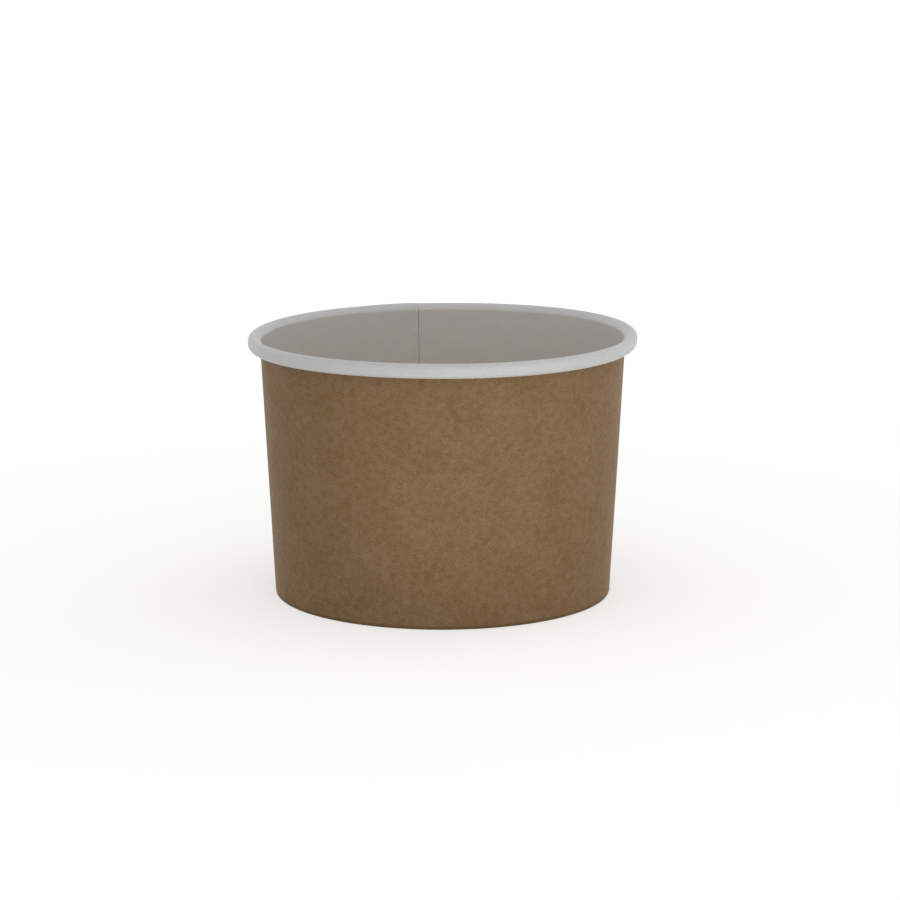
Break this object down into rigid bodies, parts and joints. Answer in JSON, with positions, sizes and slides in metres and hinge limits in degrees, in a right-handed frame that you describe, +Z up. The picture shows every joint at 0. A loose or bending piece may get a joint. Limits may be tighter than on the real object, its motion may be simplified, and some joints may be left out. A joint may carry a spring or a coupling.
{
  "type": "paper ice cream tub",
  "caption": "Round, slightly tapered paper tub with a rolled rim, a lapped side seam and a recessed base; kraft brown outside, white inside; holds a serving of ice cream.",
  "frame": {"origin": "middle of the foot, on the surface that the tub stands on", "axes": "+Z up along the tub's axis; -Y is the front, with the side seam at the back, a little to the left"},
  "size_m": [0.09, 0.09, 0.061],
  "materials": {
    "kraft_board": "matt unbleached face outside, white coated face inside and over the rim",
    "white_board": "satin, thin plastic coating"
  },
  "bodies": {
    "root": {"side_wall": "kraft_board", "base": "white_board"}
  },
  "joints": []
}
